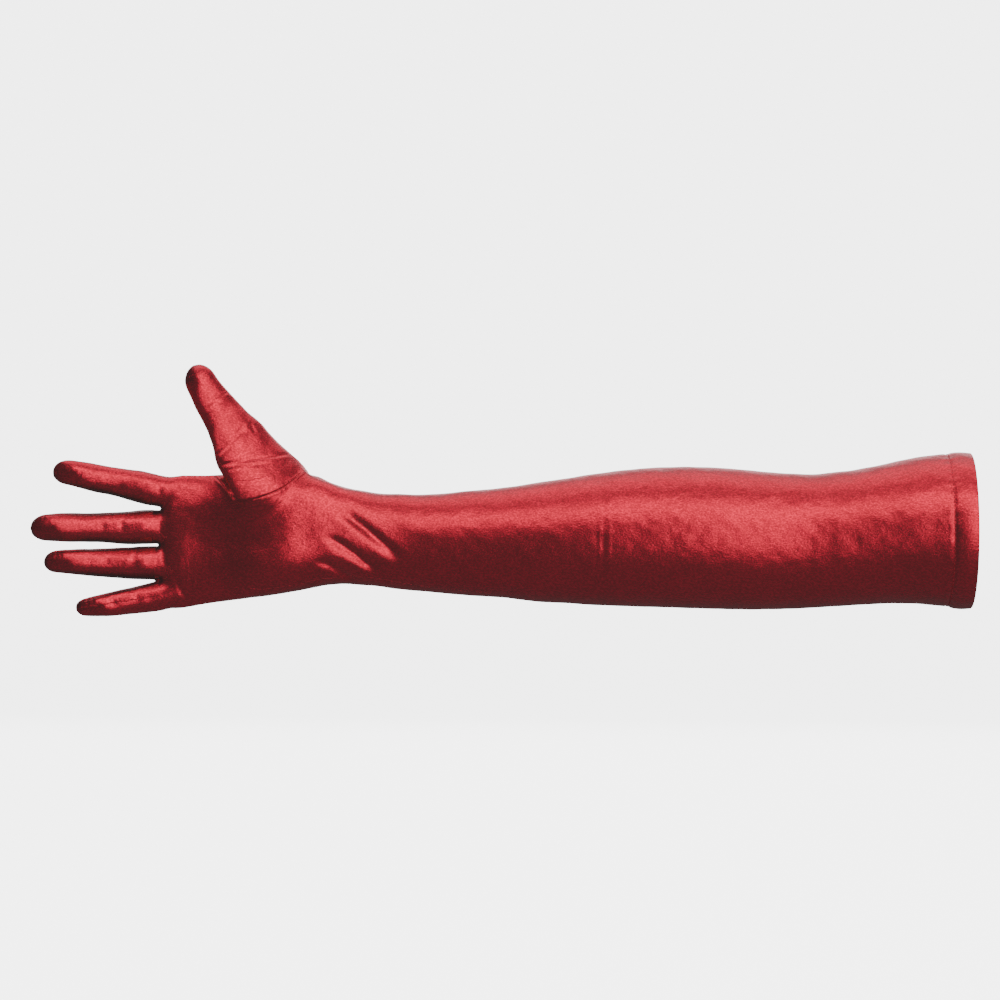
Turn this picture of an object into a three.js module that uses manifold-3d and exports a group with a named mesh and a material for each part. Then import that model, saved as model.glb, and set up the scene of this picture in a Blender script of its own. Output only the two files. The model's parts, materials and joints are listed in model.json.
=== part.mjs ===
// A long satin opera glove for the right hand, held as it is worn on an outstretched arm.
// The hem of the sleeve is at x = 0 and the fingers point along -X, with the thumb up (+Z) and the palm
// towards -Y. Every piece of cloth is a thin closed solid. Where the wearer's arm bends, the sleeve is cut
// across at the hinge, and the cloth that crumples in the crook is a wedge of its own. All sizes are in
// millimetres.

import * as THREE from "three";
import { LoftGeometry } from "three/addons/geometries/LoftGeometry.js";
import { mergeVertices } from "three/addons/utils/BufferGeometryUtils.js";
import Module from "manifold-3d";

// ---------------------------------------------------------------- driving dimensions

const clothThickness = 0.8;
const clearance = 0.3; // between two pieces that meet
const hemWidth = 13; // the edge is turned in by this much and stitched
const threadThickness = 0.5;
const seamAllowance = 2.2; // how far the sewn edges stand into the sleeve
const seamWidth = 3.2; // both sewn edges, pressed together

const elbowFromHem = 105;
const forearmLength = 258; // elbow to wrist
const palmLength = 119; // wrist to the forks between the fingers

const hemHalfHeight = 46;
const hemHalfDepth = 43;
const elbowHalfHeight = 39.5;
const elbowHalfDepth = 34;
const forearmHalfHeight = 41.5;
const forearmHalfDepth = 36.5;
const wristHalfHeight = 27.7;
const wristHalfDepth = 20.5;
const palmHalfDepth = 13;

// Each finger, from the thumb's side down: the gap above it at its fork, how far that fork is past the
// palm's end, the way the finger points above -X in degrees, and its size. The palm is as wide as all four.
const fingers = [
  { name: "index", gap: 0, past: 4.5, tilt: 10.3, length: 61.2, halfWidth: 9.2, tipHalfWidth: 7.1 },
  { name: "middle", gap: 3.7, past: 4.5, tilt: -0.6, length: 73.2, halfWidth: 9.4, tipHalfWidth: 7.7 },
  { name: "ring", gap: 2.8, past: 3.5, tilt: 0.5, length: 66.3, halfWidth: 9.3, tipHalfWidth: 6.6 },
  { name: "little", gap: 1.4, past: 0, tilt: -8.9, length: 51.7, halfWidth: 8.3, tipHalfWidth: 5.5 },
];
const indexSideHeight = 33.3; // the edge of the hand beside the index finger
const fingerDepthShare = 0.88; // a finger is a little flatter than it is wide
const knuckleLean = 7.5; // the relaxed hand bends back a little, so its knuckles lie this far towards +Y
const fingerCurl = 15; // how far the longest fingertip then leans forward from its fork

// The three bends of a finger, as shares of its free length, and half the angle each one needs to close.
const fingerBends = [
  { name: "root", at: 0.11, halfAngle: 35.5 },
  { name: "middle", at: 0.39, halfAngle: 43 },
  { name: "tip", at: 0.7, halfAngle: 18 },
];

const thumb = { alongPalm: 0.605, height: 49.6, tilt: 60, shaftLength: 28, tipLength: 28 };
const thumbHalfWidth = 17.6;
const thumbTipHalfWidth = 8.6;
const thumbRootHalfAngle = 25.5;
const thumbTipHalfAngle = 35.5;

const wristPalmHalfAngle = 35.5;
const wristBackHalfAngle = 30.5;
const elbowHalfAngle = 45.5;

const gussetFromFork = 14; // how far a fourchette's point reaches into the palm
const gussetHalfWidth = 3.2;

// ---------------------------------------------------------------- places that follow from them

const elbowX = -elbowFromHem;
const wristX = elbowX - forearmLength;
const forkX = wristX - palmLength;
const degrees = Math.PI / 180;
const far = 2 * (elbowFromHem + forearmLength + palmLength); // longer than anything a cut passes through

// The fingers' centres at their forks, and the palm's width and centre there, from their widths and gaps.
let edge = indexSideHeight;
for (const finger of fingers) {
  finger.height = edge - finger.gap - finger.halfWidth;
  edge = finger.height - finger.halfWidth;
}
const palmHalfWidth = (indexSideHeight - edge) / 2;
const palmHeight = (indexSideHeight + edge) / 2;

// ---------------------------------------------------------------- solids

const wasm = await Module();
wasm.setup();

// A closed three.js geometry as a manifold-3d solid.
function solid(geometry) {
  const bare = new THREE.BufferGeometry().setAttribute("position", geometry.getAttribute("position"));
  bare.setIndex(geometry.index);
  const merged = mergeVertices(bare, 1e-4);
  const index = merged.index.array;
  const triangles = [];
  for (let i = 0; i < index.length; i += 3) {
    const [a, b, c] = index.slice(i, i + 3);
    if (a !== b && b !== c && c !== a) triangles.push(a, b, c);
  }
  return new wasm.Manifold(
    new wasm.Mesh({
      numProp: 3,
      vertProperties: merged.attributes.position.array,
      triVerts: new Uint32Array(triangles),
    }),
  );
}

// A manifold-3d solid as a named three.js mesh.
function piece(name, made, material) {
  const mesh = made.getMesh();
  const geometry = new THREE.BufferGeometry();
  const positions = new Float32Array(mesh.numVert * 3);
  for (let i = 0; i < mesh.numVert; i++) {
    const start = i * mesh.numProp;
    positions.set(mesh.vertProperties.subarray(start, start + 3), i * 3);
  }
  geometry.setAttribute("position", new THREE.BufferAttribute(positions, 3));
  geometry.setIndex(new THREE.BufferAttribute(mesh.triVerts, 1));
  geometry.computeVertexNormals();
  const result = new THREE.Mesh(geometry, material);
  result.name = name;
  return result;
}

// A smooth closed tube through stations of { at, shift, halfWidth, halfDepth, lean }, along a limb's own
// axis: `at` is the distance along it, `shift` moves the section across and `lean` moves it towards +Y.
// `grow` moves the whole skin out, except at the first section, where the tube is open or lies inside
// another limb.
function tube(limb, grow) {
  const { origin, along, across, stations, sides, steps, squareness } = limb;
  const curveOf = (place) => new THREE.CatmullRomCurve3(stations.map(place));
  const line = curveOf((s) => new THREE.Vector3(s.at, s.shift, s.lean));
  const girth = curveOf((s) => new THREE.Vector3(s.halfWidth, s.halfDepth, 0));
  const lengths = [stations[0].at, stations[stations.length - 1].at];
  const rounded = (value) => Math.sign(value) * Math.abs(value) ** squareness;
  const sections = Array.from({ length: steps + 1 }, (_, ring) => {
    const centre = line.getPoint(ring / steps);
    const size = girth.getPoint(ring / steps);
    const at = centre.x + THREE.MathUtils.mapLinear(centre.x, ...lengths, 0, grow);
    const halfWidth = Math.max(size.x + grow, 0.5);
    const halfDepth = Math.max(size.y + grow, 0.5);
    return Array.from({ length: sides }, (_, side) => {
      const angle = (side / sides) * 2 * Math.PI;
      const point = origin.clone().addScaledVector(along, at);
      point.addScaledVector(across, centre.y + rounded(Math.cos(angle)) * halfWidth);
      point.y += centre.z + rounded(Math.sin(angle)) * halfDepth;
      return point;
    });
  });
  return solid(new LoftGeometry(sections, { capStart: true, capEnd: true }));
}

// A large box on the side of a plane that the normal points to, kept half a clearance off the plane.
function beyond(at, normal) {
  const box = new THREE.BoxGeometry(far * 2, far * 2, far * 2);
  const turn = new THREE.Quaternion().setFromUnitVectors(new THREE.Vector3(1, 0, 0), normal);
  const centre = at.clone().addScaledVector(normal, far + clearance / 2);
  return solid(box.applyQuaternion(turn).translate(centre.x, centre.y, centre.z));
}

function slab(low, high) {
  const size = new THREE.Vector3().subVectors(high, low);
  const box = new THREE.BoxGeometry(size.x, size.y, size.z);
  return solid(box.translate((low.x + high.x) / 2, (low.y + high.y) / 2, (low.z + high.z) / 2));
}

// The wedge that a bend closes: its edge lies on the hinge, and it opens towards -Y, or +Y for a side of 1.
function wedge(bend, halfAngle, edgeShift, side = -1) {
  const reach = 90;
  const halfWidth = reach * Math.tan(halfAngle * degrees);
  const outline = new THREE.Shape([
    new THREE.Vector2(0, 0),
    new THREE.Vector2(halfWidth, reach),
    new THREE.Vector2(-halfWidth, reach),
  ]);
  const prism = new THREE.ExtrudeGeometry(outline, { depth: bend.width * 2, bevelEnabled: false });
  prism.translate(0, -edgeShift, -bend.width);
  const outwards = new THREE.Vector3(0, side, 0);
  const basis = new THREE.Matrix4().makeBasis(bend.along, outwards, bend.along.clone().cross(outwards));
  return solid(prism.applyMatrix4(basis).translate(bend.at.x, bend.at.y, bend.at.z));
}

const minus = (a, ...rest) => rest.reduce((left, b) => left.subtract(b), a);
const common = (a, ...rest) => rest.reduce((left, b) => left.intersect(b), a);
const union = (first, ...rest) => rest.reduce((left, b) => left.add(b), first);

// The cloth that crumples in a bend, cut out of the shell, with a clearance all round.
function crookCloth(shell, bend, halfAngle, side = -1) {
  const inset = (1.5 * clearance) / Math.sin(halfAngle * degrees);
  return common(shell, wedge(bend, halfAngle, -inset, side));
}

// What is left of the shell once a bend's wedge is taken out of it.
function opened(shell, bend, halfAngle, side = -1) {
  return shell.subtract(wedge(bend, halfAngle, clearance, side));
}

// ---------------------------------------------------------------- the limbs

const alongX = new THREE.Vector3(-1, 0, 0);
const up = new THREE.Vector3(0, 0, 1);

// The way a limb points when it is tilted up from -X, and the way across it, which is also its hinges' axis.
function aim(tilt) {
  const along = new THREE.Vector3(-Math.cos(tilt * degrees), 0, Math.sin(tilt * degrees));
  const across = new THREE.Vector3(Math.sin(tilt * degrees), 0, Math.cos(tilt * degrees));
  return { along, across };
}

const { lerp } = THREE.MathUtils;
const station = (at, shift, halfWidth, halfDepth, lean = 0) => ({ at, shift, halfWidth, halfDepth, lean });
const forearmAt = (share) => elbowFromHem + forearmLength * share;
const palmAt = (share) => elbowFromHem + forearmLength + palmLength * share;

const pastHem = 12; // the sleeve's tube is made this much too long, and cut off flat at the hem
const midSleeveHalfHeight = lerp(hemHalfHeight, elbowHalfHeight, 2 / 3) - 0.4;
const midSleeveHalfDepth = lerp(hemHalfDepth, elbowHalfDepth, 0.5);
const lowerForearmHalfHeight = lerp(forearmHalfHeight, wristHalfHeight, 1 / 3) + 1.7;
const aboveWristHalfHeight = lerp(forearmHalfHeight, wristHalfHeight, 2 / 3);

// Sleeve and palm in one: the hem, the elbow's hollow, the swell of the forearm, the wrist and the palm.
const arm = {
  origin: new THREE.Vector3(0, 0, 0),
  along: alongX,
  across: up,
  sides: 24,
  steps: 22,
  squareness: 0.94,
  stations: [
    station(-pastHem, 0, hemHalfHeight + 1.5, hemHalfDepth + 1),
    station(0, -0.3, hemHalfHeight, hemHalfDepth),
    station(elbowFromHem * 0.5, -2.2, midSleeveHalfHeight, midSleeveHalfDepth),
    station(elbowFromHem, -6.5, elbowHalfHeight, elbowHalfDepth),
    station(forearmAt(0.23), -4.4, forearmHalfHeight, forearmHalfDepth),
    station(forearmAt(0.46), -5.4, lowerForearmHalfHeight, forearmHalfDepth - 3),
    station(forearmAt(0.68), -7.4, aboveWristHalfHeight, wristHalfDepth + 7),
    station(forearmAt(0.86), -7.4, wristHalfHeight + 0.6, wristHalfDepth + 2.5),
    station(palmAt(0), -4.6, wristHalfHeight, wristHalfDepth),
    station(palmAt(0.22), -2.2, wristHalfHeight + 3.4, wristHalfDepth - 1, knuckleLean * 0.22),
    station(palmAt(0.5), palmHeight + 3.2, palmHalfWidth - 4.2, palmHalfDepth + 3, knuckleLean * 0.5),
    station(palmAt(0.8), palmHeight + 0.6, palmHalfWidth - 1.4, palmHalfDepth, knuckleLean * 0.8),
    station(palmAt(1), palmHeight, palmHalfWidth - 0.6, palmHalfDepth - 3.5, knuckleLean),
  ],
};

const rootInPalm = 20; // how far each finger's tube starts inside the palm

// How far a finger has leaned, at a share of its length.
function curl(finger, share) {
  const longest = Math.max(...fingers.map((f) => f.length));
  return -fingerCurl * (finger.length / longest) * (0.45 * share + 0.55 * share ** 2);
}

function fingerLimb(finger) {
  const { along, across } = aim(finger.tilt);
  const origin = new THREE.Vector3(forkX - finger.past, knuckleLean, finger.height);
  const slope = finger.halfWidth - finger.tipHalfWidth;
  const sized = (share, half) => {
    return station(finger.length * share, 0, half, half * fingerDepthShare, curl(finger, share));
  };
  return {
    origin,
    along,
    across,
    leanAt: (distance) => curl(finger, distance / finger.length),
    sides: 12,
    steps: 11,
    squareness: 0.92,
    stations: [
      station(-rootInPalm, 0, finger.halfWidth - 0.6, palmHalfDepth - 4.4, -1.2),
      station(-rootInPalm / 2, 0, finger.halfWidth, palmHalfDepth - 4),
      sized(0.02, finger.halfWidth),
      sized(0.25, finger.halfWidth - slope * 0.3),
      sized(0.5, finger.halfWidth - slope * 0.65),
      sized(0.76, finger.tipHalfWidth),
      sized(0.92, finger.tipHalfWidth * 0.78),
      sized(0.98, finger.tipHalfWidth * 0.5),
      sized(1, finger.tipHalfWidth * 0.16),
    ],
  };
}

const thumbLength = thumb.shaftLength + thumb.tipLength;
const thumbMidHalfWidth = lerp(thumbHalfWidth, thumbTipHalfWidth, 0.6) + 0.8;

function thumbLimb() {
  const { along, across } = aim(thumb.tilt);
  const thumbTipAt = (share) => thumb.shaftLength + thumb.tipLength * share;
  return {
    origin: new THREE.Vector3(wristX - palmLength * thumb.alongPalm, 0, thumb.height),
    along,
    across,
    leanAt: () => -2,
    sides: 14,
    steps: 11,
    squareness: 0.94,
    stations: [
      station(-46, 9.5, thumbHalfWidth + 2, thumbHalfWidth - 6, -2),
      station(-30, 5, thumbHalfWidth + 3.4, thumbHalfWidth - 2.6, -3),
      station(-12, 2.5, thumbHalfWidth + 1.6, thumbHalfWidth - 3.6, -3),
      station(0, 0.8, thumbHalfWidth, thumbHalfWidth - 5, -2.5),
      station(thumb.shaftLength * 0.5, 1, thumbMidHalfWidth, thumbTipHalfWidth + 1.6, -2),
      station(thumb.shaftLength, 0.1, thumbTipHalfWidth + 2, thumbTipHalfWidth, -1.5),
      station(thumbTipAt(0.55), -1.2, thumbTipHalfWidth, thumbTipHalfWidth - 0.9, -1.5),
      station(thumbTipAt(0.85), -1, thumbTipHalfWidth * 0.74, thumbTipHalfWidth * 0.66, -2),
      station(thumbTipAt(0.96), -0.8, thumbTipHalfWidth * 0.42, thumbTipHalfWidth * 0.38, -2),
      station(thumbLength, -0.8, thumbTipHalfWidth * 0.1, thumbTipHalfWidth * 0.1, -2),
    ],
  };
}

const limbs = [arm, ...fingers.map(fingerLimb), thumbLimb()];
const [, ...digits] = limbs;

// The whole glove as one hollow skin, open at the hem, before it is cut into its pieces.
const outside = union(...limbs.map((limb) => tube(limb, 0)));
const inside = union(...limbs.map((limb) => tube(limb, -clothThickness)));
const glove = common(outside.subtract(inside), beyond(new THREE.Vector3(clearance / 2, 0, 0), alongX));

// ---------------------------------------------------------------- the bends

const bendAt = (x, width) => ({ at: new THREE.Vector3(x, 0, 0), along: alongX, axis: up, width });
const elbow = bendAt(elbowX, hemHalfHeight + 20);
const wrist = bendAt(wristX, hemHalfHeight + 20);

// A bend across a digit, at a distance along its axis.
function digitBend(limb, distance, width) {
  const { origin, along, across, leanAt } = limb;
  const at = origin.clone().addScaledVector(along, distance);
  at.y += leanAt(distance);
  return { at, along, axis: across, width };
}

const beforeBend = (bend) => beyond(bend.at, bend.along.clone().negate());
const pastBend = (bend) => beyond(bend.at, bend.along);

// ---------------------------------------------------------------- materials

const cloth = (color, roughness) => {
  return new THREE.MeshStandardMaterial({ color, roughness, metalness: 0.15 });
};
const satin = cloth(0xa01028, 0.38);
const satinShade = cloth(0x7d0c20, 0.42);
const thread = cloth(0x6e0a1c, 0.7);

const part = new THREE.Group();
const add = (name, made, material = satin) => part.add(piece(name, made, material));

// The sleeve is cut in two along y = 0, and the hand along a plane that leans back to its knuckles.
const towardsPalm = new THREE.Vector3(0, -1, 0);
const handTowardsPalm = new THREE.Vector3(-knuckleLean, -palmLength, 0).normalize();
const halves = (at, normal) => [beyond(at, normal), beyond(at, normal.clone().negate())];
const [palmSide, backSide] = halves(new THREE.Vector3(0, 0, 0), towardsPalm);
const [handPalmSide, handBackSide] = halves(new THREE.Vector3(wristX, 0, 0), handTowardsPalm);

// ---------------------------------------------------------------- sleeve

// Upper sleeve, from the hem to the elbow, in two halves, over the inside of the arm and over the back.
function upperSleeve() {
  const sleeve = opened(common(glove, beforeBend(elbow)), elbow, elbowHalfAngle);
  add("upper_sleeve_front", common(sleeve, palmSide));
  add("upper_sleeve_back", common(sleeve, backSide));
}

// The turned-in edge of the hem, inside the sleeve, and the ring of stitching that holds it, outside.
function hem() {
  const [inner, innermost] = [clothThickness + clearance, 2 * clothThickness + clearance];
  const ring = tube(arm, -inner).subtract(tube(arm, -innermost));
  const band = slab(new THREE.Vector3(-hemWidth, -far, -far), new THREE.Vector3(-0.2, far, far));
  add("hem_fold", common(ring, band), satinShade);
  const stitches = tube(arm, clearance + threadThickness).subtract(tube(arm, clearance));
  const line = slab(
    new THREE.Vector3(-hemWidth - threadThickness, -far, -far),
    new THREE.Vector3(-hemWidth, far, far),
  );
  add("hem_stitching", common(stitches, line), thread);
}

// Forearm, between the elbow's wedge and the wrist's two.
function forearm() {
  let sleeve = common(glove, pastBend(elbow), beforeBend(wrist));
  sleeve = opened(sleeve, elbow, elbowHalfAngle);
  sleeve = opened(sleeve, wrist, wristPalmHalfAngle);
  sleeve = opened(sleeve, wrist, wristBackHalfAngle, 1);
  add("forearm_front", common(sleeve, palmSide));
  add("forearm_back", common(sleeve, backSide));
}

// The sewn edges of the long seam, which stand into the sleeve under the little finger's side.
function sideSeam() {
  const lowest = new THREE.Vector3(-far, -far, -far);
  const underside = slab(lowest, new THREE.Vector3(far, far, -seamAllowance));
  const standing = common(tube(arm, -clothThickness - clearance), underside);
  const edges = standing.subtract(tube(arm, -clothThickness - clearance - seamAllowance));
  const between = (a, b, normal) => common(beyond(a, normal), beyond(b, normal.clone().negate()));
  const ridge = (fromX, toX, at, normal) => {
    const half = normal.clone().multiplyScalar(seamWidth / 2);
    const across = between(at.clone().sub(half), at.clone().add(half), normal);
    const length = between(new THREE.Vector3(fromX, 0, 0), new THREE.Vector3(toX, 0, 0), alongX);
    return common(edges, across, length);
  };
  const bendRoom = 6;
  const wristPoint = new THREE.Vector3(wristX, 0, 0);
  const pieces = [
    ["side_seam_upper", -hemWidth - 2, elbowX + bendRoom, new THREE.Vector3(), towardsPalm],
    ["side_seam_forearm", elbowX - bendRoom, wristX + bendRoom, new THREE.Vector3(), towardsPalm],
    ["side_seam_hand", wristX - bendRoom, forkX + 8, wristPoint, handTowardsPalm],
  ];
  pieces.forEach(([name, ...where]) => add(name, ridge(...where), satinShade));
}

function armCrooks() {
  add("elbow_crook_cloth", crookCloth(glove, elbow, elbowHalfAngle), satinShade);
  add("wrist_palm_cloth", crookCloth(glove, wrist, wristPalmHalfAngle), satinShade);
  add("wrist_back_cloth", crookCloth(glove, wrist, wristBackHalfAngle, 1), satinShade);
}

// ---------------------------------------------------------------- hand

const thumbTube = digits[digits.length - 1];
const thumbRoot = digitBend(thumbTube, 0, thumbHalfWidth + 14);
const thumbJoint = digitBend(thumbTube, thumb.shaftLength, thumbHalfWidth + 6);

// The curved outline that the thumb's piece is set into, extruded through the hand. Room grows it.
function thumbSeam(room) {
  const middle = new THREE.Vector2(thumbTube.origin.x, thumbTube.origin.z);
  const { along, across } = thumbTube;
  const place = (a, b) =>
    new THREE.Vector2(middle.x + a * along.x + b * across.x, middle.y + a * along.z + b * across.z);
  const outer = place(-31 - room, 30 + room);
  const inner = place(-12.6 - room, -25.8 - room);
  const pull = place(-38.7 - room, -14 - room);
  const outline = new THREE.Shape();
  outline.moveTo(outer.x, outer.y);
  outline.quadraticCurveTo(pull.x, pull.y, inner.x, inner.y);
  const innerEnd = place(60, -34 - room);
  const outerEnd = place(60, 44 + room);
  outline.lineTo(innerEnd.x, innerEnd.y);
  outline.lineTo(outerEnd.x, outerEnd.y);
  const settings = { depth: 2 * far, bevelEnabled: false, curveSegments: 10 };
  const prism = new THREE.ExtrudeGeometry(outline, settings);
  return solid(prism.rotateX(Math.PI / 2).translate(0, far, 0));
}

// The lane that a finger's tube runs in, past its fork.
function fingerLane(limb, finger) {
  const half = finger.halfWidth + 0.5;
  const box = new THREE.BoxGeometry(finger.length * 2, far, half * 2).translate(-finger.length, 0, 0);
  box.rotateY(finger.tilt * degrees);
  return solid(box.translate(limb.origin.x, 0, limb.origin.z));
}

// Fingers' inner sides meet at three forks. Each fourchette starts as a point in the palm and passes
// through its fork.
function forkHeights() {
  return fingers.slice(1).map((finger, i) => {
    const above = fingers[i];
    const room = above.height - above.halfWidth - (finger.height + finger.halfWidth);
    return finger.height + finger.halfWidth + room / 2;
  });
}

function hand() {
  const lanes = fingers.map((finger, i) => fingerLane(digits[i], finger));
  let palm = common(glove, pastBend(wrist));
  palm = opened(palm, wrist, wristPalmHalfAngle);
  palm = opened(palm, wrist, wristBackHalfAngle, 1);
  palm = minus(palm, ...lanes);
  const setIn = common(palm, thumbSeam(0), beforeBend(thumbRoot));
  palm = palm.subtract(thumbSeam(clearance));
  const gusset = (height, room) =>
    slab(
      new THREE.Vector3(forkX - far, -far, height - gussetHalfWidth - room),
      new THREE.Vector3(forkX + gussetFromFork + room, far, height + gussetHalfWidth + room),
    );
  const heights = forkHeights();
  const names = ["fourchette_index_middle", "fourchette_middle_ring", "fourchette_ring_little"];
  names.forEach((name, i) => add(name, common(palm, gusset(heights[i], 0)), satinShade));
  palm = minus(palm, ...heights.map((height) => gusset(height, clearance)));
  add("palm_panel", common(palm, handPalmSide));
  add("back_panel", common(palm, handBackSide));
  add("thumb_base", opened(setIn, thumbRoot, thumbRootHalfAngle));
}

// ---------------------------------------------------------------- thumb and fingers

function thumbPieces() {
  const shell = common(glove, thumbSeam(0));
  let shaft = common(shell, pastBend(thumbRoot), beforeBend(thumbJoint));
  shaft = opened(shaft, thumbRoot, thumbRootHalfAngle);
  add("thumb_shaft", opened(shaft, thumbJoint, thumbTipHalfAngle));
  add("thumb_tip", opened(common(shell, pastBend(thumbJoint)), thumbJoint, thumbTipHalfAngle));
  add("thumb_root_cloth", crookCloth(shell, thumbRoot, thumbRootHalfAngle), satinShade);
  add("thumb_joint_cloth", crookCloth(shell, thumbJoint, thumbTipHalfAngle), satinShade);
}

// Each finger's stall in three stiff lengths, with the cloth of its three creases between them. The short
// length between the fork and the root hinge stays with the hand.
function fingerStall(finger, limb) {
  const skin = tube(limb, 0).subtract(tube(limb, -clothThickness));
  const fork = { at: limb.origin, along: limb.along };
  const stall = common(skin, pastBend(fork));
  const bends = fingerBends.map((bend) => ({
    ...digitBend(limb, finger.length * bend.at, finger.halfWidth + 6),
    name: bend.name,
    halfAngle: bend.halfAngle,
  }));
  const [root, middle, tip] = bends;
  const cut = (from, to) => {
    let length = from ? common(stall, pastBend(from)) : stall;
    length = to ? common(length, beforeBend(to)) : length;
    return bends.reduce((left, bend) => opened(left, bend, bend.halfAngle), length);
  };
  add(`${finger.name}_base`, cut(null, root));
  add(`${finger.name}_lower`, cut(root, middle));
  add(`${finger.name}_middle`, cut(middle, tip));
  add(`${finger.name}_tip`, cut(tip, null));
  bends.forEach((bend) => {
    add(`${finger.name}_${bend.name}_crease`, crookCloth(stall, bend, bend.halfAngle), satinShade);
  });
}

upperSleeve();
hem();
armCrooks();
forearm();
sideSeam();
hand();
thumbPieces();
fingers.forEach((finger, i) => fingerStall(finger, digits[i]));

export default part;
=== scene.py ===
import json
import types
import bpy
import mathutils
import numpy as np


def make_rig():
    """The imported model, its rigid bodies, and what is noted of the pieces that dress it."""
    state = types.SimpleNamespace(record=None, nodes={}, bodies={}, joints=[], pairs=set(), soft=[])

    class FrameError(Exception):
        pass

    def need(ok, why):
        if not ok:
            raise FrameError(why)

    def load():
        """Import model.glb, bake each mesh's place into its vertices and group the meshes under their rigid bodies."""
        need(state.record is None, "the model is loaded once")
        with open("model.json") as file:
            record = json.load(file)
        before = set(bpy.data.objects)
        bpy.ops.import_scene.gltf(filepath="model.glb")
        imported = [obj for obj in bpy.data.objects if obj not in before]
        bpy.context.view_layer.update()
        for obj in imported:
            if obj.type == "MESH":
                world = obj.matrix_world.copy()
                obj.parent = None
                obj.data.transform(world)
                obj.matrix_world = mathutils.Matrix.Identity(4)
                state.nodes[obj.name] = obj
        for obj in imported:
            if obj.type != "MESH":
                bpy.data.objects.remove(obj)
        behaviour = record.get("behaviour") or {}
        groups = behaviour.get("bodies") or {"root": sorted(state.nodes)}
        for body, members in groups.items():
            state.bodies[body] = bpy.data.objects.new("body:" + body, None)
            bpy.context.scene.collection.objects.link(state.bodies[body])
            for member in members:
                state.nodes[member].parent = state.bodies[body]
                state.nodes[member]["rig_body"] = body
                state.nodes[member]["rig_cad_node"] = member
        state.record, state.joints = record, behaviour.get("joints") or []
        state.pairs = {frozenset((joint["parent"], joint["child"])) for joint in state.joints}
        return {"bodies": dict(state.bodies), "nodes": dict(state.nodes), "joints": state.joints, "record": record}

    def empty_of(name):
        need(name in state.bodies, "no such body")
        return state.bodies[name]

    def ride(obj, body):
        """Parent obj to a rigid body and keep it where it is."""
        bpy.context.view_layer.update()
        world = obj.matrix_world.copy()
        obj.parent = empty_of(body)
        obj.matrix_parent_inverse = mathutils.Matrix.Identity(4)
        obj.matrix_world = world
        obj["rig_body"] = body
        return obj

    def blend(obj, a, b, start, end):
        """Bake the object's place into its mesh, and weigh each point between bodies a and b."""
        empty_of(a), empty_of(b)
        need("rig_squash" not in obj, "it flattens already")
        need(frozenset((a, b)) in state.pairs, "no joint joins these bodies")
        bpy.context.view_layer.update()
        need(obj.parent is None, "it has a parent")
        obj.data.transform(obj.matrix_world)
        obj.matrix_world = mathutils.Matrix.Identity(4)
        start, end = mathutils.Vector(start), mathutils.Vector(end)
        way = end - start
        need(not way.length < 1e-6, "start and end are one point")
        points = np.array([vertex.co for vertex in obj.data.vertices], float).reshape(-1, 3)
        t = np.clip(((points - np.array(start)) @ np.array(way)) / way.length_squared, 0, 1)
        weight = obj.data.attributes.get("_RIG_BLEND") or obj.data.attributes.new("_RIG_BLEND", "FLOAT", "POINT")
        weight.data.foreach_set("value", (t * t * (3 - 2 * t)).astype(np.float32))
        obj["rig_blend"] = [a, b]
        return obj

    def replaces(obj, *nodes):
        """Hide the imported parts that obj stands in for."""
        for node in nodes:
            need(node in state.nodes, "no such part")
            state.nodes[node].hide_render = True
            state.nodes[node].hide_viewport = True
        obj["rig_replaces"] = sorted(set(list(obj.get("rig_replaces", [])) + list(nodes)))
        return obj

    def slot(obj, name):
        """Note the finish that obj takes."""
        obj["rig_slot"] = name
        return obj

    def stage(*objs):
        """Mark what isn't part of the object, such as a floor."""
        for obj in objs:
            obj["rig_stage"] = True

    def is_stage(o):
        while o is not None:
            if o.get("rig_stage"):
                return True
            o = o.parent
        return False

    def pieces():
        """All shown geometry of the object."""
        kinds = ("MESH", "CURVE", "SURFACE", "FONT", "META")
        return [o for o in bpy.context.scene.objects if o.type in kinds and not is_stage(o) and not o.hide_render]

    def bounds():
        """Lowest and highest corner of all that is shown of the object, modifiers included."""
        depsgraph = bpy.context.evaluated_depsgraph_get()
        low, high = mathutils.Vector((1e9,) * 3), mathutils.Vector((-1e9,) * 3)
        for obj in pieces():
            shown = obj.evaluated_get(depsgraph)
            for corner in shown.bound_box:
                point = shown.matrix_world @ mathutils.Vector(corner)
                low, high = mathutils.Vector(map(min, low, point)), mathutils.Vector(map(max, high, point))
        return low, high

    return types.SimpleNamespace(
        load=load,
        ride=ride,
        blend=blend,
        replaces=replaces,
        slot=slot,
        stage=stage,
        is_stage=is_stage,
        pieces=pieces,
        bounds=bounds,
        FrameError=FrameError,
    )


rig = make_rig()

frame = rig.load()

import json
import math

import bmesh
import bpy
import numpy as np
from mathutils import Vector
from mathutils.bvhtree import BVHTree

cad_low, cad_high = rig.bounds()

# ---------------------------------------------------------------- camera
# Level with the glove and square to the palm, far enough back that fingers and hem are seen nearly flat on.
camera = bpy.data.objects.new("camera", bpy.data.cameras.new("camera"))
camera.data.lens = 135
camera.data.sensor_width = 36
camera.location = (-0.2804, -2.2400, 0.0181)
camera.rotation_euler = (math.radians(90), 0, 0)
bpy.context.scene.collection.objects.link(camera)
bpy.context.scene.camera = camera

# ---------------------------------------------------------------- floor and light
# A pale studio: a flat floor below the glove that curves up into a round wall.


def add_mesh(name, points, faces, smooth=True):
    mesh = bpy.data.meshes.new(name)
    mesh.from_pydata([tuple(p) for p in points], [], [tuple(int(i) for i in f) for f in faces])
    mesh.polygons.foreach_set("use_smooth", [smooth] * len(mesh.polygons))
    obj = bpy.data.objects.new(name, mesh)
    bpy.context.scene.collection.objects.link(obj)
    return obj


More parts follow.
